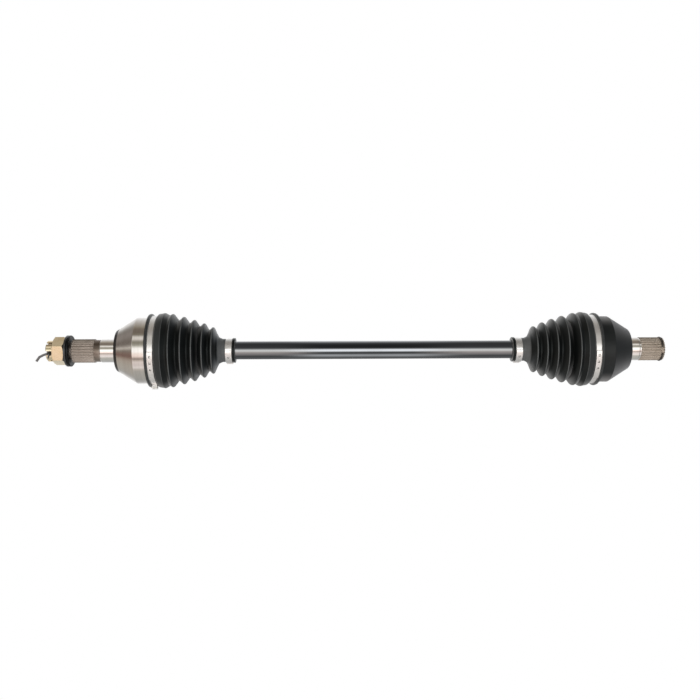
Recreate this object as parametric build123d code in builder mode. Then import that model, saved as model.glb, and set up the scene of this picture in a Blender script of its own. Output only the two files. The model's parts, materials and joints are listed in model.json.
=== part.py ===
from build123d import *
from math import acos, asin, atan2, cos, degrees, hypot, radians, sin, sqrt, tan
import os

os.makedirs("parts", exist_ok=True)

# Millimetres. X runs along the axle from the wheel end to the differential end, and +Z is up.
# The origin is on the axle's axis, in the plane of the outboard shoulder that the hub seats against.
# Distances along each end are measured from that end's own shoulder towards the middle of the bar.

close_fit = 0.1  # between parts that only just slide on each other

# Ball joints: six balls run in grooves between the bell and an inner race, held in one plane by a cage
ball_count = 6
ball_r = 7.5
ball_circle_r = 26.5
outboard_centre = 33.0
inboard_centre = 34.2
outboard_bend = 40.0  # degrees each way in one plane
outboard_rise = 10.0  # degrees each way in the plane across it
outboard_groove_room = 1.0
outboard_race_room = 1.5
inboard_groove_room = 0.4
groove_run_on = 2.0  # degrees of groove past the ball's own reach
groove_exit = 72.0  # degrees past the ball plane, well out through the mouth
race_groove_swing = 60.0  # degrees each way, past both faces of the race
race_sunk = 2.0  # how far the race's ball stays inside the ball circle
race_half_width = 10.0
inner_race_r = ball_circle_r - race_sunk
race_room = 0.2
cage_inner_r = inner_race_r + race_room
cage_proud = 2.8
cage_outer_r = ball_circle_r + cage_proud
cage_half_width = 12.0
window_length = 18.6
window_room = 0.1
cage_room = 0.2
bell_bore_r = cage_outer_r + cage_room
outboard_land = 12.0  # spherical land past the joint centre, towards the mouth
mouth_flare = 4.5
outboard_mouth_r = bell_bore_r + mouth_flare
floor_room = 0.2
race_corner = degrees(acos(race_half_width / inner_race_r))
full_bend = degrees(acos(cos(radians(outboard_bend)) * cos(radians(outboard_rise))))
outboard_floor = outboard_centre - inner_race_r * cos(radians(race_corner - full_bend)) - floor_room
inboard_floor = 10.5
inboard_floor_taper = 5.0
inboard_groove_reach = 11.0  # from the ball plane at rest to the centre of the groove's ball-nosed end
inboard_groove_end = inboard_centre - inboard_groove_reach

# Bells: the outer form is the same at both ends
shoulder_r = 24.6
shoulder_fillet = 1.6
cone_length = 25.4
bell_wall = 5.3  # behind the outboard bell's ball grooves
bell_r = ball_circle_r + ball_r + outboard_groove_room + bell_wall
bell_edge_fillet = 0.9
seat_start = 39.5  # where the cylinder steps down to the boot's seat
seat_step = 1.5
seat_r = bell_r - seat_step
seat_groove_depth = 0.9
seat_groove_width = 2.4
outboard_mouth = seat_start + 11.1
inboard_mouth = seat_start + 15.1
mouth_chamfer = 0.8

# Stub shafts
journal_r = 14.3
hub_journal_length = 19.0
diff_journal_length = 13.2
runout_sunk = 1.0
runout_r = journal_r - runout_sunk
hub_runout_length = 7.2
diff_runout_length = 1.9
spline_sunk = 0.1
stub_spline_r = journal_r - spline_sunk
stub_spline_depth = 1.2
stub_spline_teeth = 27
stub_spline_tooth = 2.1
hub_spline_length = 26.9
diff_spline_length = 28.7
stub_chamfer = 0.9
thread_sunk = 4.3
thread_r = stub_spline_r - thread_sunk
thread_length = 29.5
tooth_flank = 62.0  # degrees
tooth_root_share = 0.5  # how much of a tooth's height again is sunk in the shaft

# Axle bar
shoulder_span = 622.0  # hub shoulder to differential shoulder
bar_r = 11.0
bar_spline_sunk = 0.4
bar_spline_r = bar_r - bar_spline_sunk
bar_spline_teeth = 22
bar_spline_tooth = 1.7
bar_spline_depth = 1.0
bar_end_past_centre = 14.6
bar_end_chamfer = 1.0

# Rings that keep the races, the cage and the splines in place
race_ring_width = 1.6
race_ring_height = 1.5
race_ring_seat = 0.9
mouth_ring_wire_r = 1.0
mouth_ring_from_mouth = 2.0
mouth_ring_sunk = 0.2
stub_ring_wire_r = 1.1
stub_ring_proud = 0.8
stub_ring_from_end = 2.8
ring_gap = 34.0  # degrees left open

# Boots
boot_start = seat_start + 0.2
boot_wall = 2.4
boot_fit = 0.2
boot_collar = 2.6  # rubber between a bell's seat and its band
boot_lip_height = 3.2
boot_lip_width = 3.1
band_seat_r = seat_r + boot_collar
boot_lip_r = band_seat_r + boot_lip_height
band_width = 6.9
shoulder_rib_rise = 1.0
shoulder_rib_r = boot_lip_r + shoulder_rib_rise
shoulder_rib_at = boot_start + 18.6
shoulder_valley_depth = 2.6
shoulder_valley_r = shoulder_rib_r - shoulder_valley_depth
shoulder_valley_at = shoulder_rib_at + 5.4
rib_count = 5
first_rib_at = shoulder_valley_at + 3.9
first_rib_r = boot_lip_r
rib_pitch = 13.3  # from the first rib to the second
rib_pitch_drop = 0.8  # how much closer each further rib comes
rib_drop = 3.2  # radius lost from the first rib to the second
rib_drop_growth = 0.44  # how much faster the radius falls at each further rib
valley_depth = 6.8
crest_width = 1.6
bar_groove_depth = 0.6
bar_groove_width = 3.0
boot_neck_wall = 2.4
small_band_seat_r = bar_r + boot_neck_wall
neck_proud = 0.7
neck_r = small_band_seat_r + neck_proud
neck_flare_height = 7.9
neck_flare_r = neck_r + neck_flare_height
neck_flare_past_rib = 3.2
neck_flare_length = 7.1
neck_flare_hollow = 0.7
neck_length = 4.5
small_band_width = 8.0
boot_end_lip_width = 3.7
boot_end_lip_height = 1.6
boot_end_lip_r = small_band_seat_r + boot_end_lip_height

# Band clamps
band_fit = 0.1
band_thickness = 0.9
band_side_room = 0.15
strap_start = -5.0  # degrees from the front, turning downwards
strap_end = 46.0
strap_slots = (2.5, 13.0, 24.5)
slot_length = 2.6
slot_width = 2.2
small_strap_end = 82.0
small_strap_slots = (28.0,)
bottom = 90.0  # degrees from the front
small_ear = 114.0
small_ear_height = 3.2
large_ear_height = 4.6
ear_width = 6.4

# Hub nut, cone washers and cotter pin
nut_sides = 6
nut_across_flats = 30.0
hex_height = 13.5
crown_height = 8.3
crown_wall = 2.7
crown_r = thread_r + crown_wall
crown_chamfer = 1.0
nut_face_proud = 0.2
nut_face_r = nut_across_flats / 2 + nut_face_proud
nut_corner_angle = 30.0
castle_slot_pairs = 3
castle_slot_width = 4.6
castle_slot_floor = 0.7  # metal left between a slot and the hexagon
nut_turn = 3.5  # degrees a flat and a castle slot turn below the front
washer_r = 18.9
washer_thickness = 3.0
washer_dish = 0.8
washer_bore_room = 0.4
washer_bore_r = thread_r + washer_bore_room
washer_edge = 0.7
washer_past_spline = 1.8
pin_r = 1.5
pin_hole_r = 1.8
pin_from_stub_end = 4.0
pin_split = 0.1
pin_eye_r = 2.7
pin_eye_room = 0.6
pin_bend_r = 1.9
# Each leg's bends from where it leaves the nut: along X, to the back and upwards
pin_long_leg = ((-5.6, -1.9, -1.8), (-10.4, -2.4, -4.2), (-14.2, -2.6, -9.4))
pin_short_leg = ((-1.2, -1.4, -6.0),)

outboard = Plane(origin=(0, 0, 0), x_dir=(1, 0, 0), z_dir=(0, -1, 0))
inboard = Plane(origin=(shoulder_span, 0, 0), x_dir=(-1, 0, 0), z_dir=(0, 1, 0))


def end_axis(end):
    """The axis of one end, pointing from its shoulder to the middle of the bar."""
    return Axis(end.origin, end.x_dir)


def cross_plane(end, distance):
    """A plane across the axle at a distance from one end's shoulder. Its x points to the front."""
    return Plane(end.origin + end.x_dir * distance, x_dir=(0, -1, 0), z_dir=end.x_dir)


def front_plane(x):
    """A plane across the axle at x, with its x to the front and its angles turning downwards."""
    return Plane(origin=(x, 0, 0), x_dir=(0, -1, 0), z_dir=(1, 0, 0))


def radial_plane(x, angle):
    """A plane through the axle's axis: its x points outwards at an angle below the front, its y along X."""
    turn = radians(angle)
    outwards = Vector(0, -cos(turn), -sin(turn))
    return Plane(origin=(x, 0, 0), x_dir=outwards, z_dir=outwards.cross(Vector(1, 0, 0)))


def sphere_point(centre, sphere_r, offset):
    """The point of a sphere's outline that lies at an offset along the axle from its centre."""
    return (centre + offset, sqrt(sphere_r**2 - offset**2))


def spline_outline(tip_r, depth, teeth, tooth, grow=0.0):
    """Draws a splined shaft's outline in the open sketch, or the hole for it where it grows."""
    Circle(tip_r - depth + grow)
    height = depth * (1 + tooth_root_share)
    with PolarLocations(tip_r + grow - height / 2, teeth):
        Trapezoid(tooth + 2 * grow, height, tooth_flank, rotation=-90)


def turned(end, points):
    """Turns a closed outline round the axis of one end, in the open part."""
    with BuildSketch(end) as outline:
        with BuildLine():
            Polyline(points, close=True)
        make_face()
    return revolve(outline.sketch, axis=end_axis(end))


# --- Bells ---------------------------------------------------------------------------------------


def bell_outline(mouth):
    """The outside of a bell from its shoulder to its mouth, closed along the axis."""
    groove = seat_start + boot_lip_width + band_width / 2
    half = seat_groove_width / 2
    return [
        (0, 0),
        (0, shoulder_r),
        (cone_length, bell_r),
        (seat_start, bell_r),
        (seat_start, seat_r),
        (groove - half, seat_r),
        (groove - half, seat_r - seat_groove_depth),
        (groove + half, seat_r - seat_groove_depth),
        (groove + half, seat_r),
        (mouth - mouth_chamfer, seat_r),
        (mouth, seat_r - mouth_chamfer),
        (mouth, 0),
    ]


def bell_body(end, mouth):
    """Turns a bell's solid outside in the open part and rounds the edges that show."""
    turned(end, bell_outline(mouth))
    rims = edges().filter_by(GeomType.CIRCLE)
    fillet([e for e in rims if abs(e.radius - shoulder_r) < 0.01], shoulder_fillet)
    rims = edges().filter_by(GeomType.CIRCLE)
    fillet([e for e in rims if abs(e.radius - bell_r) < 0.01], bell_edge_fillet)


def stub_body(end, journal_length, runout_length, spline_length, tail):
    """Adds a stub shaft outwards from a bell's shoulder, with its spline and a tail past the spline."""
    runout = -journal_length - runout_length
    spline_end = runout - spline_length
    root_r = stub_spline_r - stub_spline_depth
    turned(
        end,
        [
            (shoulder_fillet, 0),
            (shoulder_fillet, journal_r),
            (-journal_length + stub_chamfer, journal_r),
            (-journal_length, journal_r - stub_chamfer),
            (-journal_length, runout_r),
            (runout, runout_r),
            (runout, root_r),
            (spline_end, root_r),
            *tail(spline_end),
        ],
    )
    with BuildSketch(cross_plane(end, spline_end)) as spline:
        spline_outline(stub_spline_r, stub_spline_depth, stub_spline_teeth, stub_spline_tooth)
    extrude(spline.sketch, amount=spline_length)


def cut_curved_grooves(centre_x, along, room, first, last):
    """Cuts ball grooves that curve round a joint centre, from one angle off the ball plane to another."""
    for k in range(ball_count):
        turn = 360 / ball_count * k
        tangent = radial_plane(centre_x, turn).z_dir
        centre = Vector(centre_x, 0, 0)
        outwards = Vector(0, -cos(radians(turn)), -sin(radians(turn)))
        start = outwards * cos(radians(first)) + along * sin(radians(first))
        swing = Axis(centre, outwards.cross(along))
        section = Plane(centre, x_dir=start, z_dir=start.cross(tangent))
        with BuildSketch(section) as groove:
            with Locations((ball_circle_r, 0)):
                Circle(ball_r + room)
        revolve(groove.sketch, axis=swing, revolution_arc=last - first, mode=Mode.SUBTRACT)


def threaded_tail(spline_end):
    """The outline of the threaded end past the hub spline."""
    tip = spline_end - thread_length
    return [
        (spline_end, thread_r),
        (tip + stub_chamfer, thread_r),
        (tip, thread_r - stub_chamfer),
        (tip, 0),
    ]


def plain_tail(spline_end):
    """The outline of a stub that ends with its spline."""
    return [(spline_end, 0)]


ball_reach = degrees(asin(ball_r / ball_circle_r))
hub_spline_end = -hub_journal_length - hub_runout_length - hub_spline_length
stub_tip = hub_spline_end - thread_length
pin_x = stub_tip + pin_from_stub_end

with BuildPart() as outboard_bell:
    bell_body(outboard, outboard_mouth)
    stub_body(outboard, hub_journal_length, hub_runout_length, hub_spline_length, threaded_tail)
    floor_offset = outboard_floor - outboard_centre
    with BuildSketch(outboard):
        with BuildLine():
            ThreePointArc(
                sphere_point(outboard_centre, bell_bore_r, floor_offset),
                (outboard_centre, bell_bore_r),
                sphere_point(outboard_centre, bell_bore_r, outboard_land),
            )
            Polyline(
                sphere_point(outboard_centre, bell_bore_r, outboard_land),
                (outboard_mouth, outboard_mouth_r),
                (outboard_mouth, 0),
                (outboard_floor, 0),
                sphere_point(outboard_centre, bell_bore_r, floor_offset),
            )
        make_face()
    revolve(axis=end_axis(outboard), mode=Mode.SUBTRACT)
    cut_curved_grooves(
        outboard_centre,
        outboard.x_dir,
        outboard_groove_room,
        -outboard_bend / 2 - ball_reach - groove_run_on,
        groove_exit,
    )
    with Locations(radial_plane(pin_x, nut_turn)):
        Cylinder(pin_hole_r, 2 * journal_r, rotation=(0, 90, 0), mode=Mode.SUBTRACT)

with BuildPart() as inboard_bell:
    bell_body(inboard, inboard_mouth)
    stub_body(inboard, diff_journal_length, diff_runout_length, diff_spline_length, plain_tail)
    with BuildSketch(inboard):
        with BuildLine():
            Polyline(
                (inboard_floor, 0),
                (inboard_floor, bell_bore_r - inboard_floor_taper),
                (inboard_floor + inboard_floor_taper, bell_bore_r),
                (inboard_mouth, bell_bore_r),
                (inboard_mouth, 0),
                close=True,
            )
        make_face()
    revolve(axis=end_axis(inboard), mode=Mode.SUBTRACT)
    with BuildSketch(cross_plane(inboard, inboard_groove_end)):
        with PolarLocations(ball_circle_r, ball_count):
            Circle(ball_r + inboard_groove_room)
    extrude(amount=inboard_mouth - inboard_groove_end, mode=Mode.SUBTRACT)
    with Locations(cross_plane(inboard, inboard_groove_end)):
        with PolarLocations(ball_circle_r, ball_count):
            Sphere(ball_r + inboard_groove_room, mode=Mode.SUBTRACT)
    with Locations(cross_plane(inboard, inboard_mouth - mouth_ring_from_mouth)):
        Torus(bell_bore_r + mouth_ring_sunk, mouth_ring_wire_r + window_room, mode=Mode.SUBTRACT)
    stub_ring_at = -diff_journal_length - diff_runout_length - diff_spline_length + stub_ring_from_end
    stub_ring_middle_r = stub_spline_r + stub_ring_proud - stub_ring_wire_r
    with Locations(cross_plane(inboard, stub_ring_at)):
        Torus(
            stub_ring_middle_r,
            stub_ring_wire_r + window_room,
            mode=Mode.SUBTRACT,
        )


# --- Cages, balls and inner races ----------------------------------------------------------------


def ball_cage(end, centre):
    """A cage: a ring between two spheres, with a rounded window for each ball."""
    with BuildPart() as cage:
        with BuildSketch(end):
            with BuildLine():
                for sphere_r in (cage_inner_r, cage_outer_r):
                    ThreePointArc(
                        sphere_point(centre, sphere_r, -cage_half_width),
                        (centre, sphere_r),
                        sphere_point(centre, sphere_r, cage_half_width),
                    )
                for side in (-cage_half_width, cage_half_width):
                    Line(
                        sphere_point(centre, cage_inner_r, side),
                        sphere_point(centre, cage_outer_r, side),
                    )
            make_face()
        revolve(axis=end_axis(end))
        for k in range(ball_count):
            outwards = radial_plane(end.origin.X + end.x_dir.X * centre, 360 / ball_count * k)
            window = Plane(outwards.origin, x_dir=outwards.z_dir, z_dir=outwards.x_dir)
            with BuildSketch(window):
                SlotOverall(window_length, 2 * (ball_r + window_room))
            extrude(amount=cage_outer_r + window_room, mode=Mode.SUBTRACT)
    return cage


def ball_set(end, centre):
    """The balls of one joint, on their pitch circle."""
    with BuildPart() as balls:
        with Locations(cross_plane(end, centre)):
            with PolarLocations(ball_circle_r, ball_count):
                Sphere(ball_r)
    return balls


def inner_race(end, centre, room):
    """An inner race: a ball-shaped ring with a groove for each ball and a splined bore."""
    with BuildPart() as race:
        with BuildSketch(end):
            with BuildLine():
                ThreePointArc(
                    sphere_point(centre, inner_race_r, -race_half_width),
                    (centre, inner_race_r),
                    sphere_point(centre, inner_race_r, race_half_width),
                )
                Polyline(
                    sphere_point(centre, inner_race_r, race_half_width),
                    (centre + race_half_width, 0),
                    (centre - race_half_width, 0),
                    sphere_point(centre, inner_race_r, -race_half_width),
                )
            make_face()
        revolve(axis=end_axis(end))
        cut_curved_grooves(
            end.origin.X + end.x_dir.X * centre,
            end.x_dir,
            room,
            -race_groove_swing,
            race_groove_swing,
        )
        with BuildSketch(cross_plane(end, centre - race_half_width)):
            spline_outline(
                bar_spline_r,
                bar_spline_depth,
                bar_spline_teeth,
                bar_spline_tooth,
                grow=close_fit,
            )
        extrude(amount=2 * race_half_width, mode=Mode.SUBTRACT)
    return race


outboard_cage = ball_cage(outboard, outboard_centre)
inboard_cage = ball_cage(inboard, inboard_centre)
outboard_balls = ball_set(outboard, outboard_centre)
inboard_balls = ball_set(inboard, inboard_centre)
outboard_inner_race = inner_race(outboard, outboard_centre, outboard_race_room)
inboard_inner_race = inner_race(inboard, inboard_centre, inboard_groove_room)

# --- Axle bar ------------------------------------------------------------------------------------



def rib_at(k):
    """Where rib k's crest lies along the boot. A half gives the valley between two ribs."""
    return first_rib_at + rib_pitch * k - rib_pitch_drop * k * (k - 1) / 2


neck_flare_at = rib_at(rib_count - 1) + neck_flare_past_rib
neck_at = neck_flare_at + neck_flare_length
small_band_at = neck_at + neck_length
small_band_middle = small_band_at + small_band_width / 2


def bar_half(end, centre):
    """Half of the bar's outline, from its splined end to the middle, closed along the axis."""
    root_r = bar_spline_r - bar_spline_depth
    tip = centre - bar_end_past_centre
    ring = centre - race_half_width - close_fit
    groove = small_band_middle
    return [
        (tip, 0),
        (tip, root_r - bar_end_chamfer),
        (tip + bar_end_chamfer, root_r),
        (ring - race_ring_width, root_r),
        (ring - race_ring_width, root_r - race_ring_seat),
        (ring, root_r - race_ring_seat),
        (ring, root_r),
        (centre + race_half_width + close_fit, root_r),
        (centre + race_half_width + close_fit, bar_r),
        (groove - bar_groove_width / 2, bar_r),
        (groove - bar_groove_width / 2, bar_r - bar_groove_depth),
        (groove + bar_groove_width / 2, bar_r - bar_groove_depth),
        (groove + bar_groove_width / 2, bar_r),
        (shoulder_span / 2, bar_r),
        (shoulder_span / 2, 0),
    ]


with BuildPart() as axle_bar:
    for end, centre in ((outboard, outboard_centre), (inboard, inboard_centre)):
        turned(end, bar_half(end, centre))
        ring = centre - race_half_width - close_fit
        for start, length in (
            (centre - bar_end_past_centre + bar_end_chamfer, bar_end_past_centre
             - bar_end_chamfer - race_half_width - close_fit - race_ring_width),
            (ring, 2 * (race_half_width + close_fit)),
        ):
            with BuildSketch(cross_plane(end, start)):
                spline_outline(bar_spline_r, bar_spline_depth, bar_spline_teeth, bar_spline_tooth)
            extrude(amount=length)


def open_ring(x, inner_r, outer_r, width):
    """A flat snap ring across the axle, with a gap in its round."""
    with BuildPart() as ring:
        with BuildSketch(radial_plane(x, ring_gap / 2)):
            with Locations(((inner_r + outer_r) / 2, 0)):
                Rectangle(outer_r - inner_r, width)
        revolve(axis=Axis.X, revolution_arc=360 - ring_gap)
    return ring


def wire_ring(x, middle_r, wire_r):
    """A round-wire snap ring across the axle, with a gap in its round."""
    with BuildPart() as ring:
        with BuildSketch(radial_plane(x, ring_gap / 2)):
            with Locations((middle_r, 0)):
                Circle(wire_r)
        revolve(axis=Axis.X, revolution_arc=360 - ring_gap)
    return ring


race_ring_inner = bar_spline_r - bar_spline_depth - race_ring_seat + close_fit
race_ring_at = race_half_width + close_fit + race_ring_width / 2
race_ring_outer = race_ring_inner + race_ring_height + race_ring_seat
outboard_shaft_circlip = open_ring(
    outboard_centre - race_ring_at,
    race_ring_inner,
    race_ring_outer,
    race_ring_width - close_fit,
)
inboard_shaft_circlip = open_ring(
    shoulder_span - inboard_centre + race_ring_at,
    race_ring_inner,
    race_ring_outer,
    race_ring_width - close_fit,
)
inboard_mouth_ring = wire_ring(
    shoulder_span - inboard_mouth + mouth_ring_from_mouth,
    bell_bore_r + mouth_ring_sunk,
    mouth_ring_wire_r,
)
stub_circlip = wire_ring(
    shoulder_span - stub_ring_at,
    stub_ring_middle_r,
    stub_ring_wire_r,
)

# --- Boots ---------------------------------------------------------------------------------------


def rib_r(k):
    """The radius of the crest line at rib k, which also holds halfway between two ribs."""
    return first_rib_r - rib_drop * k - rib_drop_growth * k * (k - 1) / 2


def boot_fold(inset):
    """The folded stretch of a boot's wall, from the large band to the neck's flare."""
    fold = [
        (boot_start + boot_lip_width + band_width, band_seat_r - inset),
        (boot_start + boot_lip_width + band_width + crest_width, boot_lip_r - inset),
        (shoulder_rib_at - crest_width, shoulder_rib_r - inset),
        (shoulder_rib_at + crest_width, shoulder_rib_r - inset),
        (shoulder_valley_at, shoulder_valley_r - inset),
    ]
    for k in range(rib_count):
        fold += [
            (rib_at(k) - crest_width / 2, rib_r(k) - inset),
            (rib_at(k) + crest_width / 2, rib_r(k) - inset),
        ]
        if k < rib_count - 1:
            fold.append((rib_at(k + 0.5), rib_r(k + 0.5) - valley_depth - inset))
    fold.append((neck_flare_at, neck_flare_r - inset))
    return fold


def boot(end):
    """A folded rubber boot, turned about one end's axis."""
    band_end = boot_start + boot_lip_width + band_width
    seat_bead = boot_start + boot_lip_width + band_width / 2
    bead_half = seat_groove_width / 2 - boot_fit
    bead_r = seat_r - seat_groove_depth + boot_fit
    collar_r = seat_r + boot_fit
    small_end = small_band_at + small_band_width
    neck_bore = bar_r + boot_fit
    small_bead_half = bar_groove_width / 2 - boot_fit
    small_bead_r = bar_r - bar_groove_depth + boot_fit
    outer = boot_fold(0)
    inner = boot_fold(boot_wall)[1:]
    with BuildPart() as rubber:
        with BuildSketch(end):
            with BuildLine():
                Polyline(
                    (boot_start, collar_r),
                    (boot_start, boot_lip_r),
                    (boot_start + boot_lip_width, boot_lip_r),
                    (boot_start + boot_lip_width, band_seat_r),
                    *outer,
                )
                SagittaArc(outer[-1], (neck_at, neck_r), -neck_flare_hollow)
                Polyline(
                    (neck_at, neck_r),
                    (small_band_at, neck_r),
                    (small_band_at, small_band_seat_r),
                    (small_end, small_band_seat_r),
                    (small_end, boot_end_lip_r),
                    (small_end + boot_end_lip_width, boot_end_lip_r),
                    (small_end + boot_end_lip_width, neck_bore),
                    (small_band_middle + small_bead_half, neck_bore),
                    (small_band_middle + small_bead_half, small_bead_r),
                    (small_band_middle - small_bead_half, small_bead_r),
                    (small_band_middle - small_bead_half, neck_bore),
                    (neck_at, neck_bore),
                    *reversed(inner),
                    (band_end + crest_width, collar_r),
                    (seat_bead + bead_half, collar_r),
                    (seat_bead + bead_half, bead_r),
                    (seat_bead - bead_half, bead_r),
                    (seat_bead - bead_half, collar_r),
                    (boot_start, collar_r),
                )
            make_face()
        revolve(axis=end_axis(end))
    return rubber


outboard_boot = boot(outboard)
inboard_boot = boot(inboard)

# --- Band clamps ---------------------------------------------------------------------------------


def band_clamp(x, seat, width, wrap_end, slots, ear_height, ear_angle):
    """A stainless band with its outer end laid over it, slots for the hooks and a pinched ear."""
    band_r = seat + band_fit
    outer_r = band_r + band_thickness
    with BuildPart() as clamp:
        with BuildSketch(front_plane(x - width / 2)):
            Circle(outer_r)
            Circle(band_r, mode=Mode.SUBTRACT)
        extrude(amount=width)
        with BuildSketch(radial_plane(x, strap_start)):
            with Locations((outer_r + band_thickness / 2, 0)):
                Rectangle(band_thickness, width)
        revolve(axis=Axis.X, revolution_arc=wrap_end - strap_start)
        for angle in slots:
            slot = radial_plane(x, angle)
            with BuildSketch(Plane(slot.origin, x_dir=slot.z_dir, z_dir=slot.x_dir).offset(outer_r)):
                Rectangle(slot_length, slot_width)
            extrude(amount=2 * band_thickness, mode=Mode.SUBTRACT)
        with BuildSketch(front_plane(x - width / 2)):
            with PolarLocations(outer_r - band_thickness / 2, 1, start_angle=ear_angle):
                Rectangle(ear_height + band_thickness / 2, ear_width, align=(Align.MIN, Align.CENTER))
            with PolarLocations(outer_r, 1, start_angle=ear_angle):
                Rectangle(
                    ear_height - band_thickness,
                    ear_width - 2 * band_thickness,
                    align=(Align.MIN, Align.CENTER),
                    mode=Mode.SUBTRACT,
                )
        extrude(amount=width)
    return clamp


large_band_middle = boot_start + boot_lip_width + band_width / 2
large_width = band_width - 2 * band_side_room
small_width = small_band_width - 2 * band_side_room
large = (band_seat_r, large_width, strap_end, strap_slots, large_ear_height)
small = (small_band_seat_r, small_width, small_strap_end, small_strap_slots, small_ear_height)

# The large clamps' ears stand on either side of the bottom, one at each end of the axle. Their
# corners touch a bench together with the boots' shoulder ribs and keep the axle from rolling.
ear_tip_r = band_seat_r + band_fit + band_thickness + large_ear_height
ear_corner_turn = atan2(ear_width / 2, ear_tip_r)
ear_corner_r = hypot(ear_width / 2, ear_tip_r)
ear_from_bottom = degrees(acos(shoulder_rib_r / ear_corner_r) + ear_corner_turn)

outboard_large_clamp = band_clamp(large_band_middle, *large, bottom - ear_from_bottom)
inboard_large_clamp = band_clamp(shoulder_span - large_band_middle, *large, bottom + ear_from_bottom)
outboard_small_clamp = band_clamp(small_band_middle, *small, small_ear)
inboard_small_clamp = band_clamp(shoulder_span - small_band_middle, *small, small_ear)

# --- Nut, washers and cotter pin -----------------------------------------------------------------


def cone_washer(back_x):
    """A dished washer whose back rim lies at back_x and whose dome points to the nut."""
    front_x = back_x - washer_thickness
    with BuildPart() as washer:
        turned(
            outboard,
            [
                (back_x - washer_dish, washer_bore_r),
                (front_x - washer_dish, washer_bore_r),
                (front_x, washer_r - washer_edge),
                (front_x + washer_edge, washer_r),
                (back_x - washer_edge, washer_r),
                (back_x, washer_r - washer_edge),
            ],
        )
    return washer


washer_stack_x = hub_spline_end - washer_past_spline
cone_washer_inner = cone_washer(washer_stack_x)
cone_washer_outer = cone_washer(washer_stack_x - washer_thickness)
nut_seat_x = washer_stack_x - 2 * washer_thickness - washer_dish
crown_x = nut_seat_x - hex_height

with BuildPart() as castle_nut:
    flats = nut_across_flats / 2
    half_side = 180 / nut_sides  # degrees from a flat's middle to its corner
    corner_r = flats / cos(radians(half_side))
    corner_drop = (corner_r - nut_face_r) * tan(radians(nut_corner_angle))
    tip_x = crown_x - crown_height
    with BuildSketch(front_plane(tip_x)):
        RegularPolygon(flats, nut_sides, major_radius=False, rotation=nut_turn + half_side)
    extrude(amount=hex_height + crown_height)
    with BuildSketch(outboard):
        with BuildLine():
            Polyline(
                (tip_x, 0),
                (tip_x, crown_r - crown_chamfer),
                (tip_x + crown_chamfer, crown_r),
                (crown_x, crown_r),
                (crown_x, nut_face_r),
                (crown_x + corner_drop, corner_r),
                (nut_seat_x - corner_drop, corner_r),
                (nut_seat_x, nut_face_r),
                (nut_seat_x, 0),
                close=True,
            )
        make_face()
    revolve(axis=Axis.X, mode=Mode.INTERSECT)
    with BuildSketch(front_plane(tip_x)):
        Circle(thread_r + close_fit)
    extrude(amount=hex_height + crown_height, mode=Mode.SUBTRACT)
    with BuildSketch(front_plane(tip_x)):
        for k in range(castle_slot_pairs):
            slot_turn = nut_turn + 180 / castle_slot_pairs * k
            Rectangle(2 * crown_r + crown_chamfer, castle_slot_width, rotation=slot_turn)
    extrude(amount=crown_height - castle_slot_floor, mode=Mode.SUBTRACT)

pin_plane = radial_plane(pin_x, nut_turn)
pin_out = pin_plane.x_dir
pin_start = Vector(pin_x, 0, 0) - pin_out * (crown_r + pin_eye_room)
pin_exit = Vector(pin_x, 0, 0) + pin_out * (crown_r + pin_r)

with BuildPart() as cotter_pin:
    for side, bends in ((-1, pin_long_leg), (1, pin_short_leg)):
        with BuildLine() as leg:
            tail = [pin_exit + Vector(*bend) for bend in bends]
            FilletPolyline(pin_start, pin_exit, *tail, radius=pin_bend_r)
        with BuildSketch(Plane(pin_start, x_dir=(1, 0, 0), z_dir=pin_out)):
            Circle(pin_r)
            with Locations((-side * (pin_r - pin_split / 2), 0)):
                Rectangle(2 * pin_r, 2 * pin_r, mode=Mode.SUBTRACT)
        sweep(path=leg.wire())
    with Locations(Plane(pin_start - pin_out * pin_eye_r, x_dir=pin_out, z_dir=pin_plane.z_dir)):
        Torus(pin_eye_r, pin_r / 2)

nodes = {
    "axle_bar": axle_bar,
    "outboard_bell": outboard_bell,
    "outboard_cage": outboard_cage,
    "outboard_balls": outboard_balls,
    "outboard_inner_race": outboard_inner_race,
    "outboard_shaft_circlip": outboard_shaft_circlip,
    "outboard_boot": outboard_boot,
    "outboard_large_clamp": outboard_large_clamp,
    "outboard_small_clamp": outboard_small_clamp,
    "castle_nut": castle_nut,
    "cone_washer_outer": cone_washer_outer,
    "cone_washer_inner": cone_washer_inner,
    "cotter_pin": cotter_pin,
    "inboard_bell": inboard_bell,
    "inboard_cage": inboard_cage,
    "inboard_balls": inboard_balls,
    "inboard_inner_race": inboard_inner_race,
    "inboard_shaft_circlip": inboard_shaft_circlip,
    "inboard_mouth_ring": inboard_mouth_ring,
    "inboard_boot": inboard_boot,
    "inboard_large_clamp": inboard_large_clamp,
    "inboard_small_clamp": inboard_small_clamp,
    "stub_circlip": stub_circlip,
}
for name, piece in nodes.items():
    piece.part.label = name
    export_step(piece.part, f"parts/{name}.step")
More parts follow.
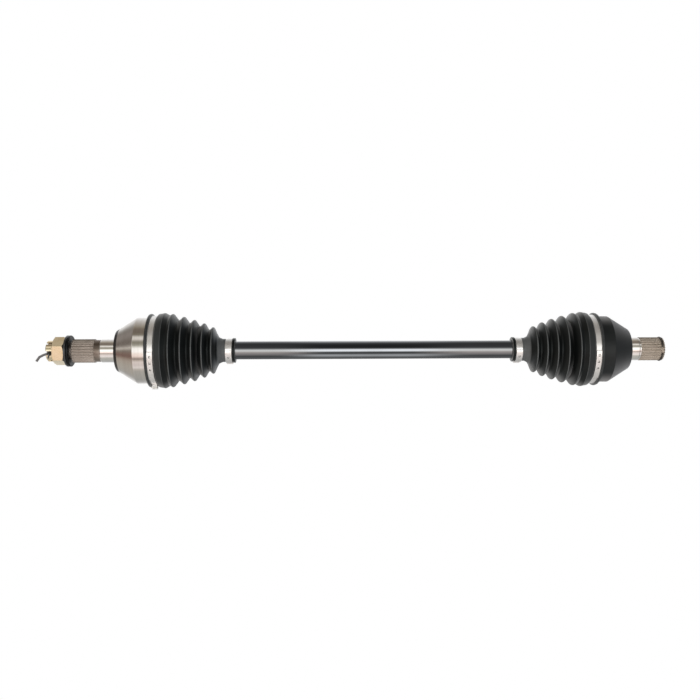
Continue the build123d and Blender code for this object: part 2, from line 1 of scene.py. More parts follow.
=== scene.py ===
import bmesh
import bpy
import json
from math import atan2, cos, pi, radians, sin, tan
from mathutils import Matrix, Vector


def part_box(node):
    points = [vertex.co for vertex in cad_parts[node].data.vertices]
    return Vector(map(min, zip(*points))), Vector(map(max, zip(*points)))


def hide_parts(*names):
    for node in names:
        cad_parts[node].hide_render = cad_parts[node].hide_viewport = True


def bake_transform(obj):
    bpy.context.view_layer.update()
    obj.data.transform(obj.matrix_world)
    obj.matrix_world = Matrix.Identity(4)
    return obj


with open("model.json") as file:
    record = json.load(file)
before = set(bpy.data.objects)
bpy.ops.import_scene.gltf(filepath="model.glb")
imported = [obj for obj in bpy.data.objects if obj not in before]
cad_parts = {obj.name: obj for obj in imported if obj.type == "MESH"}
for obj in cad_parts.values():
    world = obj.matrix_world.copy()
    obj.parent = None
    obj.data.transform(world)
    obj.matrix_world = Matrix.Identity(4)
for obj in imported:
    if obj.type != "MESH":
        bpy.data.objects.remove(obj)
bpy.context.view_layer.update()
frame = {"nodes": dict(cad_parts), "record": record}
scene = bpy.context.scene
nodes = frame["nodes"]
mounts = {mount["name"]: mount for mount in frame["record"]["mounts"]}
mm = 0.001

# Places along the axle, read from the frame. Each end is measured from its own shoulder.
OUTBOARD_SHOULDER = mounts["hub_shoulder"]["pos_m"][0]
INBOARD_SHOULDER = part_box("inboard_boot")[1].x + (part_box("outboard_boot")[0].x - OUTBOARD_SHOULDER)
BOOT_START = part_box("outboard_boot")[0].x - OUTBOARD_SHOULDER
FLOOR_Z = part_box("outboard_boot")[0].z


# --- Camera --------------------------------------------------------------------------------------

CAMERA_DISTANCE = 1.059
CAMERA_YAW = radians(1.72)  # the differential end stands a little further off
CAMERA_HEIGHT = radians(7.5)
AIM = Vector((0.2846, -0.0008, 0))
LENS = 44.6  # mm of focal length
SENSOR_WIDTH = 36
LENS_SHIFT = -0.0036


def add_camera():
    data = bpy.data.cameras.new("camera")
    data.lens = LENS
    data.sensor_width = SENSOR_WIDTH
    data.shift_x = LENS_SHIFT
    camera = bpy.data.objects.new("camera", data)
    scene.collection.objects.link(camera)
    level = cos(CAMERA_HEIGHT)
    ahead = Vector((sin(CAMERA_YAW) * level, cos(CAMERA_YAW) * level, -sin(CAMERA_HEIGHT)))
    camera.location = AIM - ahead * CAMERA_DISTANCE
    camera.rotation_euler = ahead.to_track_quat("-Z", "Y").to_euler()
    scene.camera = camera


# --- Material helpers ----------------------------------------------------------------------------


class Tree:
    """A node tree with short calls to add nodes and join them."""

    def __init__(self, tree):
        self.tree = tree

    def add(self, kind, **settings):
        node = self.tree.nodes.new("ShaderNode" + kind)
        inputs = settings.pop("inputs", {})
        for name, value in settings.items():
            setattr(node, name, value)
        for name, value in inputs.items():
            self.feed(node.inputs[name], value)
        return node

    def feed(self, socket, value):
        if isinstance(value, bpy.types.NodeSocket):
            self.tree.links.new(value, socket)
        elif hasattr(socket.default_value, "__len__") and len(socket.default_value) == 4:
            socket.default_value = (*value, 1) if len(value) == 3 else value
        else:
            socket.default_value = value

    def math(self, operation, first, second=0.0):
        node = self.add("Math", operation=operation)
        self.feed(node.inputs[0], first)
        self.feed(node.inputs[1], second)
        return node.outputs[0]

    def ramp(self, value, low, high, low_out=0.0, high_out=1.0):
        """A smooth step from low_out to high_out as value goes from low to high."""
        node = self.add("MapRange", interpolation_type="SMOOTHSTEP")
        for name, number in zip(
            ("Value", "From Min", "From Max", "To Min", "To Max"),
            (value, low, high, low_out, high_out),
        ):
            self.feed(node.inputs[name], number)
        return node.outputs[0]

    def mix(self, share, first, second, blend="MIX"):
        node = self.add("Mix", data_type="RGBA", blend_type=blend)
        self.feed(node.inputs[0], share)
        self.feed(node.inputs[6], first)
        self.feed(node.inputs[7], second)
        return node.outputs[2]

    def noise(self, vector, scale, detail=3.0, rough=0.5):
        node = self.add("TexNoise")
        for name, number in zip(("Vector", "Scale", "Detail", "Roughness"), (vector, scale, detail, rough)):
            self.feed(node.inputs[name], number)
        return node.outputs["Fac"]

    def group(self, group, **inputs):
        node = self.add("Group", node_tree=group)
        for name, value in inputs.items():
            self.feed(node.inputs[name.replace("_", " ")], value)
        return node


def effect(name, inputs, outputs):
    """A shader node group with named inputs and outputs, and its tree ready to fill."""
    group = bpy.data.node_groups.new(name, "ShaderNodeTree")
    for label, kind, value in inputs:
        socket = group.interface.new_socket(label, in_out="INPUT", socket_type="NodeSocket" + kind)
        socket.default_value = value
    for label, kind in outputs:
        group.interface.new_socket(label, in_out="OUTPUT", socket_type="NodeSocket" + kind)
    given = group.nodes.new("NodeGroupInput").outputs
    out = group.nodes.new("NodeGroupOutput").inputs
    return group, Tree(group), given, out


BROAD_RINGS = 160.0  # per metre: the slow change of tone along a turned piece
TONE_SPREAD = (0.3, 0.7)  # the part of the rings' tone that goes from the dark colour to the pale one


def turning_marks():
    """Fine rings left by the lathe tool, close together along X and uneven in depth."""
    group, tree, given, out = effect(
        "turning_marks",
        [("Rings per metre", "Float", 2500.0), ("Unevenness", "Float", 0.5)],
        [("Height", "Float"), ("Tone", "Float")],
    )
    place = tree.add("TexCoord").outputs["Object"]
    x = tree.add("SeparateXYZ", inputs={"Vector": place}).outputs["X"]
    along = tree.add("CombineXYZ", inputs={"X": x}).outputs[0]
    rings = tree.noise(along, given["Rings per metre"], 2.0, given["Unevenness"])
    broad = tree.noise(along, BROAD_RINGS, 2.0)
    half_rings = tree.math("MULTIPLY", rings, 0.5)
    half_broad = tree.math("MULTIPLY", broad, 0.5)
    tree.feed(out["Height"], rings)
    tree.feed(out["Tone"], tree.math("ADD", half_rings, half_broad))
    return group


def handling_film():
    """A thin uneven film of oil, dust and fingermarks: a soft blotch mask and a fine speck mask."""
    group, tree, given, out = effect(
        "handling_film",
        [("Blotch size", "Float", 40.0), ("Speck size", "Float", 900.0)],
        [("Blotch", "Float"), ("Speck", "Float")],
    )
    place = tree.add("TexCoord").outputs["Object"]
    tree.feed(out["Blotch"], tree.ramp(tree.noise(place, given["Blotch size"], 4.0, 0.6), 0.35, 0.7))
    tree.feed(out["Speck"], tree.ramp(tree.noise(place, given["Speck size"], 2.0, 0.6), 0.55, 0.75))
    return group


def soft_edges():
    """Rounds the light on sharp edges, and marks where they are."""
    group, tree, given, out = effect(
        "soft_edges",
        [("Radius", "Float", 0.0004)],
        [("Normal", "Vector"), ("Edge", "Float")],
    )
    bevel = tree.add("Bevel", samples=6, inputs={"Radius": given["Radius"]}).outputs["Normal"]
    flat = tree.add("NewGeometry").outputs["Normal"]
    lean = tree.add("VectorMath", operation="DOT_PRODUCT")
    tree.feed(lean.inputs[0], bevel)
    tree.feed(lean.inputs[1], flat)
    tree.feed(out["Normal"], bevel)
    tree.feed(out["Edge"], tree.ramp(lean.outputs["Value"], 0.99, 0.85))
    return group


def crevices():
    """Marks where the surface is closed in, as in a slot or under a fold, for painted shade there."""
    group, tree, given, out = effect("crevices", [("Reach", "Float", 0.0015)], [("Depth", "Float")])
    open_sky = tree.add("AmbientOcclusion", samples=8, inputs={"Distance": given["Reach"]}).outputs["AO"]
    tree.feed(out["Depth"], tree.ramp(open_sky, 0.8, 0.45))
    return group


def effects():
    return {
        "marks": turning_marks(),
        "film": handling_film(),
        "edges": soft_edges(),
        "crevices": crevices(),
    }


def finish_of(name):
    """A new material, its tree and its Principled shader."""
    material = bpy.data.materials.new(name)
    material.use_nodes = True
    tree = Tree(material.node_tree)
    return material, tree, material.node_tree.nodes["Principled BSDF"]


def ring_tone(tree, marks):
    return tree.ramp(marks.outputs["Tone"], *TONE_SPREAD)


def along_axle(tree):
    """The place along X, which a bell's zones go by."""
    place = tree.add("TexCoord").outputs["Object"]
    return tree.add("SeparateXYZ", inputs={"Vector": place}).outputs["X"]


def added(tree, base, *shares):
    """The base value with each (mask, amount) of shares added to it."""
    for mask, amount in shares:
        base = tree.math("ADD", base, tree.math("MULTIPLY", mask, amount))
    return base


def bump(tree, height, strength, distance, normal=None):
    node = tree.add("Bump", inputs={"Height": height, "Strength": strength, "Distance": distance})
    if normal is not None:
        tree.feed(node.inputs["Normal"], normal)
    return node.outputs["Normal"]


def set_shader(tree, shader, **values):
    for name, value in values.items():
        tree.feed(shader.inputs[name.replace("_", " ")], value)


# --- Finishes ------------------------------------------------------------------------------------


def race_steel(shared):
    """Races, cages and balls: bare steel with lathe rings, an oily film and slightly rounded edges."""
    material, tree, shader = finish_of("race_steel")
    tint = (0.62, 0.62, 0.63)
    ring_dark = (0.85, 0.85, 0.86)
    marks = tree.group(shared["marks"], Rings_per_metre=4000.0)
    film = tree.group(shared["film"])
    edges = tree.group(shared["edges"])
    dark = [c * d for c, d in zip(tint, ring_dark)]
    shade = tree.mix(ring_tone(tree, marks), dark, tint)
    edge_pale = [min(1, c * 1.3) for c in tint]
    set_shader(
        tree,
        shader,
        Base_Color=tree.mix(tree.math("MULTIPLY", edges.outputs["Edge"], 0.4), shade, edge_pale),
        Metallic=1.0,
        Roughness=tree.math("ADD", tree.math("MULTIPLY", film.outputs["Blotch"], 0.1), 0.18),
        Normal=bump(tree, marks.outputs["Height"], 0.3, 0.00001, edges.outputs["Normal"]),
    )
    return material


# Zones of the two bells, each measured from its own shoulder
RIM_END = 4.4 * mm
RIM_FADE = 0.6 * mm
CYLINDER_START = (24.8 * mm, 25.4 * mm)
HUB_JOURNAL_END = 19.2 * mm
HUB_SPLINE_START = 26.2 * mm
DIFF_SPLINE_START = (14.8 * mm, 15.3 * mm)
SHOULDER_FADE = 0.2 * mm
ZONE_FADE = 0.3 * mm
TURNED_EDGE = 0.4 * mm  # how far the light on an edge is rounded
SPLINE_EDGE = 1.6 * mm
TURNED_DEPTH = 0.02 * mm


def bell_steel(shared):
    """The outboard bell: forged rim, turned cone and cylinder, ground journal and rolled spline."""
    material, tree, shader = finish_of("outboard_bell_steel")
    marks = tree.group(shared["marks"], Rings_per_metre=2200.0)
    film = tree.group(shared["film"], Blotch_size=30.0)
    x = along_axle(tree)
    spline = OUTBOARD_SHOULDER - HUB_SPLINE_START
    journal_end = OUTBOARD_SHOULDER - HUB_JOURNAL_END
    rim_end = OUTBOARD_SHOULDER + RIM_END
    on_spline = tree.ramp(x, spline + ZONE_FADE, spline - ZONE_FADE)
    on_runout = tree.ramp(x, journal_end + ZONE_FADE, journal_end - ZONE_FADE)
    on_rim = tree.math(
        "MULTIPLY",
        tree.ramp(x, rim_end, rim_end - RIM_FADE),
        tree.ramp(x, OUTBOARD_SHOULDER - SHOULDER_FADE, OUTBOARD_SHOULDER),
    )
    on_cone = tree.ramp(x, rim_end - RIM_FADE, rim_end)
    edges = tree.group(shared["edges"], Radius=tree.ramp(on_spline, 0, 1, TURNED_EDGE, SPLINE_EDGE))
    on_cylinder = tree.ramp(x, *(OUTBOARD_SHOULDER + place for place in CYLINDER_START))
    tone = ring_tone(tree, marks)
    turned = tree.mix(tone, (0.52, 0.49, 0.46), (0.62, 0.60, 0.57))
    ground = tree.mix(tone, (0.80, 0.79, 0.78), (0.88, 0.87, 0.86))
    rolled = tree.mix(film.outputs["Blotch"], (0.44, 0.385, 0.34), (0.60, 0.55, 0.50))
    runout = tree.mix(film.outputs["Blotch"], (0.20, 0.165, 0.14), (0.48, 0.42, 0.37))
    shade = tree.mix(on_cone, ground, turned)
    shade = tree.mix(on_cylinder, shade, tree.mix(tone, (0.62, 0.60, 0.58), (0.78, 0.76, 0.74)))
    shade = tree.mix(on_runout, shade, runout)
    shade = tree.mix(on_spline, shade, rolled)
    shade = tree.mix(on_rim, shade, (0.035, 0.033, 0.032))
    rough = added(
        tree,
        tree.ramp(on_cone, 0, 1, 0.08, 0.17),
        (on_cylinder, -0.09),
        (on_runout, 0.3),
        (on_spline, 0.17),
        (on_rim, 0.3),
        (film.outputs["Blotch"], 0.03),
    )
    set_shader(
        tree,
        shader,
        Base_Color=tree.mix(tree.math("MULTIPLY", edges.outputs["Edge"], 0.3), shade, (0.85, 0.83, 0.8)),
        Metallic=tree.math("SUBTRACT", 1.0, tree.math("MULTIPLY", on_rim, 0.6)),
        Roughness=rough,
        Normal=bump(tree, marks.outputs["Height"], 0.12, TURNED_DEPTH, edges.outputs["Normal"]),
    )
    return material


def black_bell_paint(shared):
    """The inboard bell: satin black paint with a painted sheen that makes it paler at a slant, with a bare
    ground journal and spline.
    """
    material, tree, shader = finish_of("inboard_bell_paint")
    marks = tree.group(shared["marks"], Rings_per_metre=1800.0)
    film = tree.group(shared["film"], Blotch_size=35.0)
    x = along_axle(tree)
    bare = tree.ramp(x, INBOARD_SHOULDER - SHOULDER_FADE, INBOARD_SHOULDER + SHOULDER_FADE)
    spline = tree.ramp(x, *(INBOARD_SHOULDER + place for place in DIFF_SPLINE_START))
    edges = tree.group(shared["edges"], Radius=tree.ramp(spline, 0, 1, TURNED_EDGE, SPLINE_EDGE))
    tone = ring_tone(tree, marks)
    # Painted sheen: the paint is mixed towards grey at a slant
    sheen_share = tree.ramp(tree.add("LayerWeight", inputs={"Blend": 0.5}).outputs["Facing"], 0.3, 0.8)
    paint = tree.mix(film.outputs["Blotch"], (0.012, 0.0155, 0.017), (0.019, 0.0235, 0.0255))
    paint = tree.mix(sheen_share, paint, (0.3, 0.305, 0.315))
    ground = tree.mix(tone, (0.80, 0.79, 0.78), (0.90, 0.89, 0.88))
    rolled = tree.mix(film.outputs["Blotch"], (0.56, 0.50, 0.43), (0.64, 0.58, 0.51))
    shade = tree.mix(bare, paint, tree.mix(spline, ground, rolled))
    rough = tree.ramp(bare, 0, 1, 0.42, 0.08)
    rough = added(tree, rough, (spline, 0.52), (film.outputs["Blotch"], 0.05))
    set_shader(
        tree,
        shader,
        Base_Color=shade,
        Metallic=bare,
        Roughness=rough,
        Specular_IOR_Level=0.3,
        Normal=bump(tree, marks.outputs["Height"], 0.1, TURNED_DEPTH, edges.outputs["Normal"]),
    )
    return material


def bar_enamel(shared):
    """The bar: gloss black enamel with a faint orange peel, made as a dark mirror that shows the strips."""
    material, tree, shader = finish_of("bar_enamel")
    film = tree.group(shared["film"], Blotch_size=18.0)
    place = tree.add("TexCoord").outputs["Object"]
    peel = tree.noise(place, 260.0, 2.0)
    set_shader(
        tree,
        shader,
        Base_Color=tree.mix(film.outputs["Blotch"], (0.26, 0.27, 0.283), (0.24, 0.25, 0.26)),
        Metallic=1.0,
        Roughness=tree.math("ADD", tree.math("MULTIPLY", film.outputs["Blotch"], 0.03), 0.04),
        Normal=bump(tree, peel, 0.08, 0.0001),
    )
    return material


def boot_rubber(shared):
    """Moulded rubber: near black with a faint grain, with a painted sheen at a slant and painted highlights
    paler at its crests, shoulder and neck.
    """
    material, tree, shader = finish_of("boot_rubber")
    film = tree.group(shared["film"], Blotch_size=45.0, Speck_size=1200.0)
    crest = tree.add("Attribute", attribute_name="crest").outputs["Fac"]
    place = tree.add("TexCoord").outputs["Object"]
    grain = tree.noise(place, 1500.0, 3.0, 0.6)
    # Painted sheen: the rubber is mixed towards grey at a slant, in place of its grazing reflection
    sheen_share = tree.ramp(tree.add("LayerWeight", inputs={"Blend": 0.5}).outputs["Facing"], 0.42, 0.88)
    base = tree.mix(film.outputs["Blotch"], (0.0035, 0.0045, 0.0047), (0.0055, 0.007, 0.0072))
    # Painted highlight: the pale colour for the crest lines, the shoulder and the neck
    highlighted = tree.mix(film.outputs["Speck"], (0.13, 0.14, 0.146), (0.17, 0.182, 0.19))
    with_painted_sheen = tree.mix(sheen_share, base, (0.27, 0.28, 0.287))
    set_shader(
        tree,
        shader,
        Base_Color=tree.mix(tree.ramp(crest, 0.5, 1.0), with_painted_sheen, highlighted),
        Roughness=tree.math("ADD", tree.math("MULTIPLY", film.outputs["Blotch"], 0.1), 0.36),
        Specular_IOR_Level=0.28,
        Specular_Tint=(0.88, 0.98, 1.0),
        Normal=bump(tree, grain, 0.1, 0.00008),
    )
    return material


def plated(name, shared, tint, deep, rough, film_size=60.0, metal=1.0):
    """A plated or coated finish that varies softly, with painted highlights pale at its edges and painted
    shade dark in its slots.
    """
    material, tree, shader = finish_of(name)
    # Painted shade: the mask that darkens the colour in slots
    slot_shade = tree.group(shared["crevices"]).outputs["Depth"]
    film = tree.group(shared["film"], Blotch_size=film_size)
    edges = tree.group(shared["edges"], Radius=0.0005)
    shade = tree.mix(film.outputs["Blotch"], tint, deep)
    # Painted highlight: the pale colour for the edges
    edge_highlight = [min(1, 1.25 * c + 0.03) for c in tint]
    place = tree.add("TexCoord").outputs["Object"]
    shade = tree.mix(tree.math("MULTIPLY", edges.outputs["Edge"], 0.6), shade, edge_highlight)
    set_shader(
        tree,
        shader,
        Base_Color=tree.mix(tree.math("MULTIPLY", slot_shade, 0.9), shade, [0.08 * c for c in tint]),
        Metallic=metal,
        Roughness=tree.math("ADD", tree.math("MULTIPLY", film.outputs["Blotch"], 0.12), rough),
        Normal=bump(tree, tree.noise(place, 700.0, 3.0), 0.08, 0.0001, edges.outputs["Normal"]),
    )
    return material


# --- Round meshes --------------------------------------------------------------------------------

ROUND_STEPS = 128
ARC_ROOM = 0.48  # the most of a side that one corner's arc takes, so two arcs never meet
SHARP_FROM = radians(40)


def piece(name, mesh, material):
    """A scene object for a finished mesh, with its material."""
    made = bpy.data.objects.new(name, mesh)
    scene.collection.objects.link(made)
    mesh.materials.append(material)
    return made


def rounded(points, radius, steps=5):
    """An open outline with each inner corner turned into an arc, as (x, r, crest) points."""
    made = [(*points[0], 0.0)]
    for before, corner, after in zip(points, points[1:], points[2:]):
        here = Vector(corner)
        back = (Vector(before) - here).normalized()
        ahead = (Vector(after) - here).normalized()
        half = back.angle(ahead) / 2
        room = ARC_ROOM * min((Vector(before) - here).length, (Vector(after) - here).length)
        reach = min(radius / tan(half), room)
        bend = reach * tan(half)
        centre = here + (back + ahead).normalized() * (bend / sin(half))
        first = here + back * reach - centre
        last = here + ahead * reach - centre
        start = atan2(first.y, first.x)
        sweep = (atan2(last.y, last.x) - start + pi) % (2 * pi) - pi
        outside = 1.0 if (back + ahead).y < 0 else 0.0
        for step in range(steps + 1):
            turn = start + sweep * step / steps
            crest = outside * sin(pi * step / steps)
            made.append((centre.x + bend * cos(turn), centre.y + bend * sin(turn), crest))
    made.append((*points[-1], 0.0))
    return made


def turned(name, outline, place, material, slot):
    """A closed outline of (x, r, crest) points turned round the axle. place gives the frame's X for x."""
    mesh = bpy.data.meshes.new(name)
    shape = bmesh.new()
    crest = shape.verts.layers.float.new("crest")
    rings = []
    for x, r, mark in outline:
        ring = []
        for step in range(ROUND_STEPS):
            turn = 2 * pi * step / ROUND_STEPS
            vert = shape.verts.new((place(x), r * cos(turn), r * sin(turn)))
            vert[crest] = mark
            ring.append(vert)
        rings.append(ring)
    for ring, beyond in zip(rings, rings[1:] + rings[:1]):
        for step in range(ROUND_STEPS):
            after = (step + 1) % ROUND_STEPS
            shape.faces.new((ring[step], ring[after], beyond[after], beyond[step]))
    bmesh.ops.recalc_face_normals(shape, faces=shape.faces)
    shape.to_mesh(mesh)
    shape.free()
    mesh.shade_smooth()
    mesh.set_sharp_from_angle(angle=SHARP_FROM)
    return piece(name, mesh, material)


# --- Boots ---------------------------------------------------------------------------------------

BOOT_WALL = 2.4 * mm
CREST_ROUND = 1.7 * mm
LIP_R = 44.6 * mm
BAND_SEAT_R = 41.4 * mm
COLLAR_BORE = 39.0 * mm
NECK_BORE = 11.2 * mm
RIBS = 5
SHOULDER_CREST = 58.6 * mm
NECK_START = 121.0 * mm
NECK_END = 130.7 * mm
VALLEY_DEPTH = 6.8 * mm
# A rounded corner falls short of its point, so crests stand out and valleys go in by this much more
CREST_SPARE = 0.35 * mm
VALLEY_SPARE = 0.2 * mm
COLLAR_LENGTH = 10.6 * mm
NECK_BORE_START = 126.0 * mm
SMALL_BAND_START = 130.8 * mm
SMALL_BAND_ROOM = 8.0 * mm
NECK_R = 14.1 * mm
SMALL_BAND_SEAT_R = 13.4 * mm
SMALL_LIP_R = 15.0 * mm
STEP = 0.1 * mm  # how far along X a square step is drawn


def rib_at(k):
    """Where rib k's crest lies along the boot."""
    return (67.6 + 13.3 * k - 0.4 * k * (k - 1)) * mm


def rib_r(k):
    """The crest line's radius at rib k."""
    return (44.6 - 3.2 * k - 0.22 * k * (k - 1)) * mm


def large_end_folds():
    """The outside from the large lip to the first deep valley."""
    lip = BOOT_START + 3.1 * mm
    band = lip + 6.9 * mm
    return [
        (BOOT_START, LIP_R - 0.4 * mm),
        (BOOT_START + 1.4 * mm, LIP_R),
        (lip, LIP_R - 0.2 * mm),
        (lip + 0.2 * mm, BAND_SEAT_R),
        (band, BAND_SEAT_R),
        (band + 1.2 * mm, 44.4 * mm),
        (58.3 * mm, 45.7 * mm),
        (63.7 * mm, 42.6 * mm),
    ]


def folds(first, last):
    """Crests and valleys from rib first to the valley after rib last."""
    made = []
    for k in range(first, last + 1):
        made.append((rib_at(k), rib_r(k) + CREST_SPARE))
        if k < RIBS - 1:
            made.append(valley(k))
    return made


def valley(k):
    """The bottom of the valley between ribs k and k + 1."""
    return (rib_at(k + 0.5), rib_r(k + 0.5) - VALLEY_DEPTH - VALLEY_SPARE)


def neck():
    """The outside from the last rib's foot to the small lip's end."""
    band = SMALL_BAND_START
    lip = band + SMALL_BAND_ROOM
    lip_end = band + 11.6 * mm
    return [
        (119.6 * mm, 21.4 * mm),
        (122.4 * mm, 16.2 * mm),
        (126.8 * mm, NECK_R),
        (band, NECK_R),
        (band + STEP, SMALL_BAND_SEAT_R),
        (lip, SMALL_BAND_SEAT_R),
        (lip + STEP, SMALL_LIP_R),
        (lip_end, SMALL_LIP_R),
        (lip_end + STEP, SMALL_LIP_R - 0.8 * mm),
    ]


# How much painted highlight the shoulder by the large band gets
SHOULDER_HIGHLIGHT = 0.67


def painted_highlight_at(x):
    """How much painted highlight the plain stretches get: the shoulder by the large band and the neck."""
    if x < SHOULDER_CREST:
        return SHOULDER_HIGHLIGHT
    return 1.0 if NECK_START < x < NECK_END else 0.0


def lining(outside):
    """The inside: the outside moved in by the wall, or the bore where a collar grips."""
    made = []
    for x, r, _ in reversed(outside):
        on_collar = x < BOOT_START + COLLAR_LENGTH
        on_neck = x > NECK_BORE_START
        made.append((x, COLLAR_BORE if on_collar else NECK_BORE if on_neck else r - BOOT_WALL, 0.0))
    return made


def boot(node, seam, place, material):
    """A boot in two pieces that meet at the bottom of a valley."""
    large_outside = rounded(large_end_folds() + folds(0, seam), CREST_ROUND)
    small_outside = rounded([valley(seam)] + folds(seam + 1, RIBS - 1) + neck(), CREST_ROUND)
    pieces = []
    for half, outside in (("folds_large", large_outside), ("folds_small", small_outside)):
        # Painted highlight: the shoulder and neck get a raised crest mark, so the rubber is painted paler
        # there
        highlighted = [(x, r, max(mark, painted_highlight_at(x))) for x, r, mark in outside]
        made = turned(f"{node}_{half}", highlighted + lining(outside), place, material, "boot_rubber")
        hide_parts(node)
        pieces.append(made)
    return (*pieces, place(valley(seam)[0]))


def outboard_place(x):
    return OUTBOARD_SHOULDER + x


def inboard_place(x):
    return INBOARD_SHOULDER - x


def add_boots(material):
    outboard_seam = 2
    inboard_seam = 0
    large, small, seam = boot("outboard_boot", outboard_seam, outboard_place, material)
    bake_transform(large)
    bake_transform(small)
    large, small, seam = boot("inboard_boot", inboard_seam, inboard_place, material)
    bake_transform(large)
    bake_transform(small)


# --- CAD pieces' finishes ------------------------------------------------------------------------


def paint(node, material):
    """Gives a CAD piece its finish."""
    mesh = nodes[node].data
    mesh.materials.clear()
    mesh.materials.append(material)


def paint_cad_pieces(shared):
    ball_joint_steel = race_steel(shared)
    spring_steel = plated("spring_steel", shared, (0.16, 0.15, 0.14), (0.1, 0.095, 0.09), 0.35)
    band_steel = plated("band_stainless", shared, (0.98, 0.98, 0.975), (0.94, 0.94, 0.935), 0.28, metal=0.75)
    nut_zinc = plated("nut_yellow_zinc", shared, (0.98, 0.87, 0.65), (0.88, 0.74, 0.50), 0.14, 90.0)
    washer_grey = plated("washer_grey_steel", shared, (0.13, 0.135, 0.14), (0.09, 0.093, 0.097), 0.24)
    oxide = (0.03, 0.032, 0.034)
    washer_black = plated("washer_black_oxide", shared, oxide, (0.02, 0.021, 0.022), 0.35)
    pin_steel = plated("pin_zinc", shared, (0.24, 0.245, 0.25), (0.16, 0.165, 0.17), 0.3)
    for end in ("outboard", "inboard"):
        for part in ("cage", "balls", "inner_race"):
            paint(f"{end}_{part}", ball_joint_steel)
        paint(f"{end}_shaft_circlip", spring_steel)
        for size in ("large", "small"):
            paint(f"{end}_{size}_clamp", band_steel)
    paint("inboard_mouth_ring", spring_steel)
    paint("stub_circlip", spring_steel)
    paint("outboard_bell", bell_steel(shared))
    paint("inboard_bell", black_bell_paint(shared))
    paint("axle_bar", bar_enamel(shared))
    paint("castle_nut", nut_zinc)
    paint("cone_washer_outer", washer_grey)
    paint("cone_washer_inner", washer_black)
    paint("cotter_pin", pin_steel)


# --- Floor and light -----------------------------------------------------------------------------

# The studio as a shiny bar sees it, all the way round the X axis: degrees up from level on the camera's
# side (over 90 is behind the axle, under -90 is below and behind it), and the light's colour there.
LEVEL_STRIP = (1.35, 1.32, 1.27)
BEHIND = (1.2, 1.2, 1.2)
# Seen from either end: a softbox at 50 degrees, a strip at the level of the axle and a pale table
STUDIO_ENDS = [
    (-180, BEHIND),
    (-150, (0.95, 0.95, 0.95)),
    (-131, (0.55, 0.55, 0.55)),
    (-112, (0.45, 0.45, 0.43)),
    (-68, (0.52, 0.50, 0.46)),
    (-60, (0.65, 0.60, 0.55)),
    (-52, (0.97, 0.90, 0.86)),
    (-44, (0.84, 0.75, 0.72)),
    (-32, (0.92, 0.82, 0.77)),
    (-26, (0.65, 0.56, 0.50)),
    (-21, (0.36, 0.29, 0.25)),
    (-17, (0.60, 0.49, 0.43)),
    (-12, (1.15, 0.95, 0.87)),
    (-2, (1.22, 1.08, 0.99)),
    (4, LEVEL_STRIP),
    (15, LEVEL_STRIP),
    (21, (0.85, 0.83, 0.75)),
    (26, (0.46, 0.44, 0.37)),
    (35, (0.30, 0.28, 0.22)),
    (41, (0.42, 0.39, 0.33)),
    (47, (0.85, 0.80, 0.74)),
    (54, (0.90, 0.86, 0.80)),
    (63, (0.28, 0.25, 0.20)),
    (72, (0.21, 0.175, 0.14)),
    (88, (0.23, 0.19, 0.155)),
    (98, (0.36, 0.32, 0.26)),
    (124, (0.63, 0.60, 0.57)),
    (150, (0.95, 0.95, 0.95)),
    (180, BEHIND),
]
# Seen from the middle of the bar: no softbox, the strip at its brightest and a pale table
STUDIO_MIDDLE = [
    (-180, BEHIND),
    (-173, (0.40, 0.40, 0.40)),
    (-150, (0.28, 0.28, 0.28)),
    (-130, (0.28, 0.28, 0.28)),
    (-106, (0.27, 0.27, 0.27)),
    (-86, (0.60, 0.60, 0.60)),
    (-72, (1.15, 1.15, 1.15)),
    (-62, (1.15, 1.15, 1.15)),
    (-50, (0.70, 0.70, 0.70)),
    (-38, (0.17, 0.17, 0.17)),
    (-24, (0.15, 0.15, 0.15)),
    (-14, (1.00, 1.00, 1.00)),
    (-6, (2.80, 2.80, 2.80)),
    (0, (3.00, 3.00, 3.00)),
    (10, (3.00, 3.00, 3.00)),
    (18, (1.30, 1.30, 1.30)),
    (27, (0.30, 0.30, 0.30)),
    (36, (0.06, 0.06, 0.06)),
    (70, (0.06, 0.06, 0.06)),
    (86, (0.10, 0.10, 0.10)),
    (102, (0.18, 0.18, 0.18)),
    (123, (0.58, 0.58, 0.58)),
    (142, BEHIND),
    (180, BEHIND),
]
# Between the middle and either boot: the strip runs down into a warm floor
STUDIO_QUARTERS = [
    (-180, BEHIND),
    (-173, (0.40, 0.40, 0.40)),
    (-150, (0.30, 0.30, 0.30)),
    (-113, (0.32, 0.32, 0.32)),
    (-91, (0.22, 0.22, 0.22)),
    (-73, (0.22, 0.22, 0.22)),
    (-58, (0.52, 0.48, 0.46)),
    (-43, (0.80, 0.72, 0.69)),
    (-30, (1.02, 0.90, 0.85)),
    (-17, (1.40, 1.27, 1.17)),
    (-6, (2.10, 2.00, 1.90)),
    (9, (2.20, 2.15, 2.05)),
    (19, (0.95, 0.93, 0.90)),
    (32, (0.20, 0.20, 0.20)),
    (47, (0.13, 0.13, 0.13)),
    (91, (0.11, 0.11, 0.11)),
    (110, (0.22, 0.22, 0.22)),
    (133, (0.60, 0.60, 0.60)),
    (155, BEHIND),
    (180, BEHIND),
]
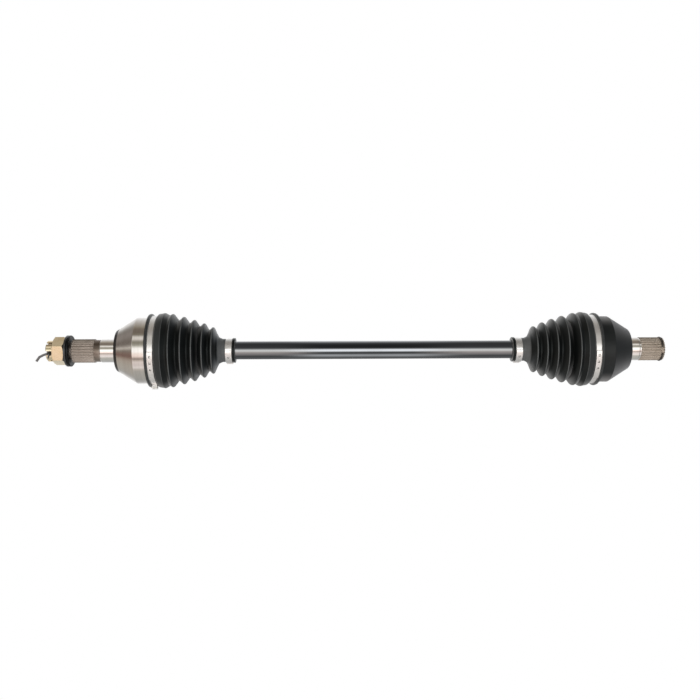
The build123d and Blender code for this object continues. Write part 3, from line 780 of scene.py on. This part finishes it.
# To the left and right of the axle
STUDIO_SIDES = [
    (-180, (0.90, 0.90, 0.90)),
    (-150, (0.75, 0.75, 0.75)),
    (-131, (0.62, 0.60, 0.56)),
    (-90, (0.62, 0.58, 0.52)),
    (-66, (0.60, 0.52, 0.45)),
    (-57, (0.46, 0.36, 0.30)),
    (-48, (0.32, 0.21, 0.18)),
    (-41, (0.22, 0.12, 0.10)),
    (-30, (0.29, 0.18, 0.155)),
    (-14, (0.34, 0.25, 0.21)),
    (0, (0.28, 0.23, 0.20)),
    (12, (0.36, 0.32, 0.28)),
    (22, (0.60, 0.55, 0.50)),
    (30, (1.00, 0.95, 0.88)),
    (37, (1.00, 0.95, 0.88)),
    (45, (0.50, 0.46, 0.42)),
    (56, (0.25, 0.22, 0.20)),
    (76, (0.22, 0.19, 0.165)),
    (108, (0.40, 0.36, 0.34)),
    (136, (0.27, 0.25, 0.23)),
    (165, (0.28, 0.27, 0.26)),
    (180, (0.40, 0.40, 0.40)),
]
STUDIO_GAIN = 3.0  # the ramps hold a third of each colour, as they stop at one

# Where one ring gives way to the next, by the X of the direction looked in
TO_QUARTERS = ((0.0, -0.06), (0.09, 0.17))
TO_ENDS = ((-0.12, -0.17), (0.26, 0.31))
TO_SIDES = (0.5, 0.8)
TO_COOL_SIDE = (0.4, 0.7)
COOL_TINT = (0.45, 0.52, 0.60)
FLOOR_HALF = 12


def add_floor():
    """A plain white floor under the boots, which lights nothing and mirrors in nothing."""
    mesh = bpy.data.meshes.new("floor")
    shape = bmesh.new()
    bmesh.ops.create_grid(shape, x_segments=1, y_segments=1, size=FLOOR_HALF)
    shape.to_mesh(mesh)
    shape.free()
    floor = bpy.data.objects.new("floor", mesh)
    floor.location = (AIM.x, 0, FLOOR_Z)
    scene.collection.objects.link(floor)
    material, tree, shader = finish_of("floor_white")
    set_shader(
        tree,
        shader,
        Base_Color=(0, 0, 0),
        Specular_IOR_Level=0.0,
        Roughness=1.0,
        Emission_Color=(1, 1, 1),
        Emission_Strength=1.0,
    )
    mesh.materials.append(material)
    floor.visible_diffuse = False
    floor.visible_glossy = False
    floor.visible_shadow = False


def add_studio():
    """The world: plain white to the camera, and to the object the studio round it."""
    world = bpy.data.worlds.new("studio")
    scene.world = world
    world.use_nodes = True
    tree = Tree(world.node_tree)
    looked_in = tree.add("TexCoord").outputs["Generated"]
    direction = tree.add("SeparateXYZ", inputs={"Vector": looked_in}).outputs
    up = tree.math("ARCTAN2", direction["Z"], tree.math("MULTIPLY", direction["Y"], -1.0))
    turn = tree.math("ADD", tree.math("DIVIDE", up, 2 * pi), 0.5)

    def ring(stops):
        node = tree.add("ValToRGB")
        tree.feed(node.inputs["Fac"], turn)
        elements = node.color_ramp.elements
        for _ in range(len(stops) - 2):
            elements.new(0.5)
        for element, (degrees, colour) in zip(elements, stops):
            element.position = degrees / 360 + 0.5
            element.color = (*[c / STUDIO_GAIN for c in colour], 1)
        return node.outputs["Color"]

    def either_way(starts):
        left, right = starts
        return tree.math("ADD", tree.ramp(x, *left), tree.ramp(x, *right))

    x = direction["X"]
    aside = tree.ramp(tree.math("ABSOLUTE", x), *TO_SIDES)
    seen = tree.add("LightPath").outputs["Is Camera Ray"]
    white = (1 / STUDIO_GAIN,) * 3
    light = tree.mix(either_way(TO_QUARTERS), ring(STUDIO_MIDDLE), ring(STUDIO_QUARTERS))
    light = tree.mix(either_way(TO_ENDS), light, ring(STUDIO_ENDS))
    light = tree.mix(aside, light, ring(STUDIO_SIDES))
    cooled = tree.mix(1.0, light, COOL_TINT, "MULTIPLY")
    light = tree.mix(tree.ramp(x, *TO_COOL_SIDE), light, cooled)
    background = world.node_tree.nodes["Background"]
    tree.feed(background.inputs["Color"], tree.mix(seen, light, white))
    background.inputs["Strength"].default_value = STUDIO_GAIN


add_camera()
shared = effects()
paint_cad_pieces(shared)
add_boots(boot_rubber(shared))
add_floor()
add_studio()
scene.view_settings.view_transform = "Standard"
